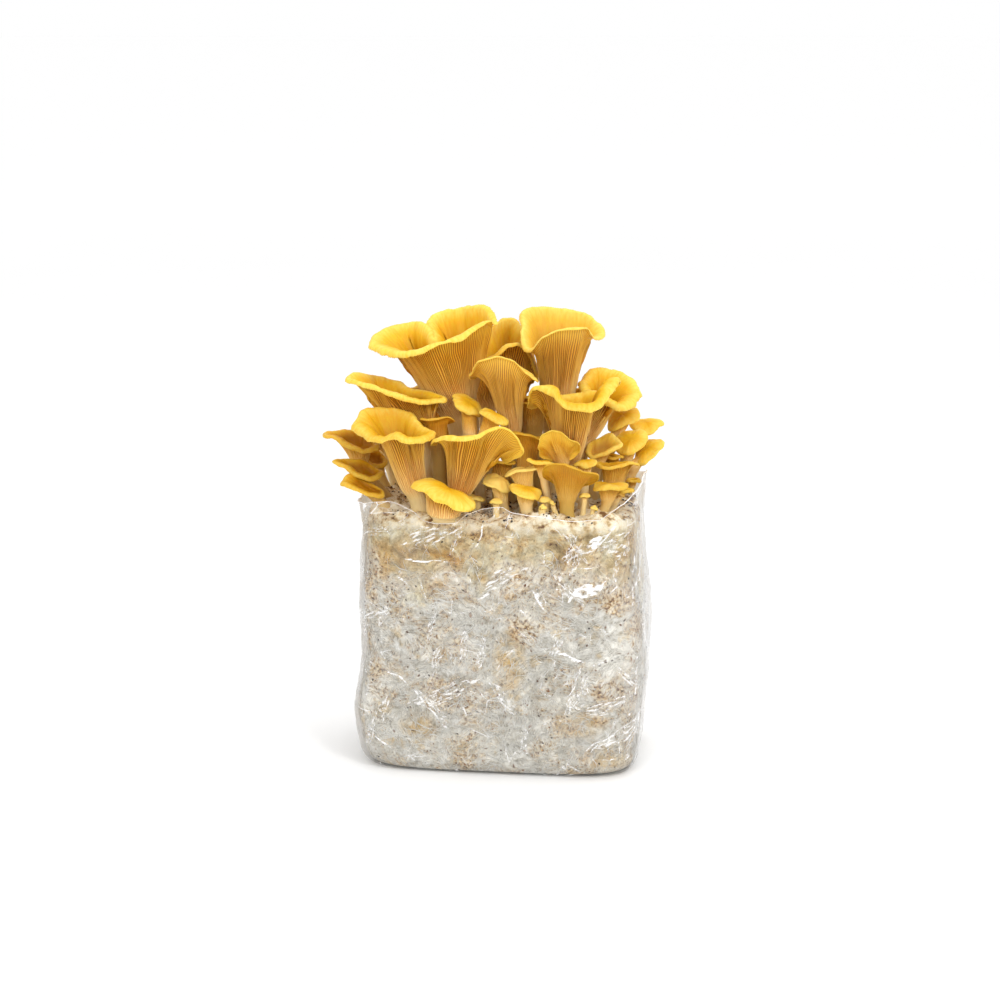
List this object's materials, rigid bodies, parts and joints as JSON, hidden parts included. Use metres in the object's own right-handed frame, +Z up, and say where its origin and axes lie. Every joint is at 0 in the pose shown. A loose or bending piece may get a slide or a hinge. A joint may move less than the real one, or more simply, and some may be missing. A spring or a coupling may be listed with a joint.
{
  "type": "oyster mushroom grow bag",
  "caption": "Clear bag of mycelium-grown substrate with golden oyster mushrooms fruiting in a dense cluster from its open top.",
  "frame": {"origin": "middle of the bag's flat base", "axes": "+Z up out of the open top, -Y out of the bag's broad front face, +X to the viewer's right"},
  "size_m": [0.2335, 0.1486, 0.312],
  "materials": {
    "mushroom_flesh": null,
    "clear_film": "clear glossy film",
    "mycelium_block": null
  },
  "bodies": {
    "root": {"bag_film": "clear_film", "substrate_block": "mycelium_block", "top_left_funnel": "mushroom_flesh", "top_middle_funnel": "mushroom_flesh", "top_right_funnel": "mushroom_flesh", "centre_tall": "mushroom_flesh", "right_rolled": "mushroom_flesh", "right_back_fan": "mushroom_flesh", "left_slanted": "mushroom_flesh", "left_front_funnel": "mushroom_flesh", "centre_front_broad": "mushroom_flesh", "front_drooping": "mushroom_flesh", "inner_left_tongue": "mushroom_flesh", "inner_right_tongue": "mushroom_flesh", "hidden_left": "mushroom_flesh", "shaded_front": "mushroom_flesh", "shaded_back": "mushroom_flesh", "round_spoon": "mushroom_flesh", "right_arched": "mushroom_flesh", "right_fan": "mushroom_flesh", "behind_fan": "mushroom_flesh", "right_trumpet": "mushroom_flesh", "right_hook": "mushroom_flesh", "hook_bud": "mushroom_flesh", "right_sliver": "mushroom_flesh", "right_edge_button": "mushroom_flesh", "right_twisted": "mushroom_flesh", "right_middle_leaf": "mushroom_flesh", "right_upper_leaf": "mushroom_flesh", "right_tongue": "mushroom_flesh", "right_back_leaf": "mushroom_flesh", "front_dome": "mushroom_flesh", "front_flared": "mushroom_flesh", "front_thick": "mushroom_flesh", "front_pin_left": "mushroom_flesh", "front_pin_middle": "mushroom_flesh", "front_pin_right": "mushroom_flesh", "front_pin_far_right": "mushroom_flesh", "front_pin_low": "mushroom_flesh", "fan_side_pin": "mushroom_flesh", "left_top_leaf": "mushroom_flesh", "left_inner_leaf": "mushroom_flesh", "left_middle_leaf": "mushroom_flesh", "left_low_leaf": "mushroom_flesh", "gap_slender": "mushroom_flesh", "back_left_broad": "mushroom_flesh", "back_centre_left": "mushroom_flesh", "back_right_broad": "mushroom_flesh", "back_low_left": "mushroom_flesh", "back_low_middle": "mushroom_flesh", "back_low_right": "mushroom_flesh", "shaded_low_centre": "mushroom_flesh", "shaded_right_back": "mushroom_flesh", "back_left_edge": "mushroom_flesh"}
  },
  "joints": []
}
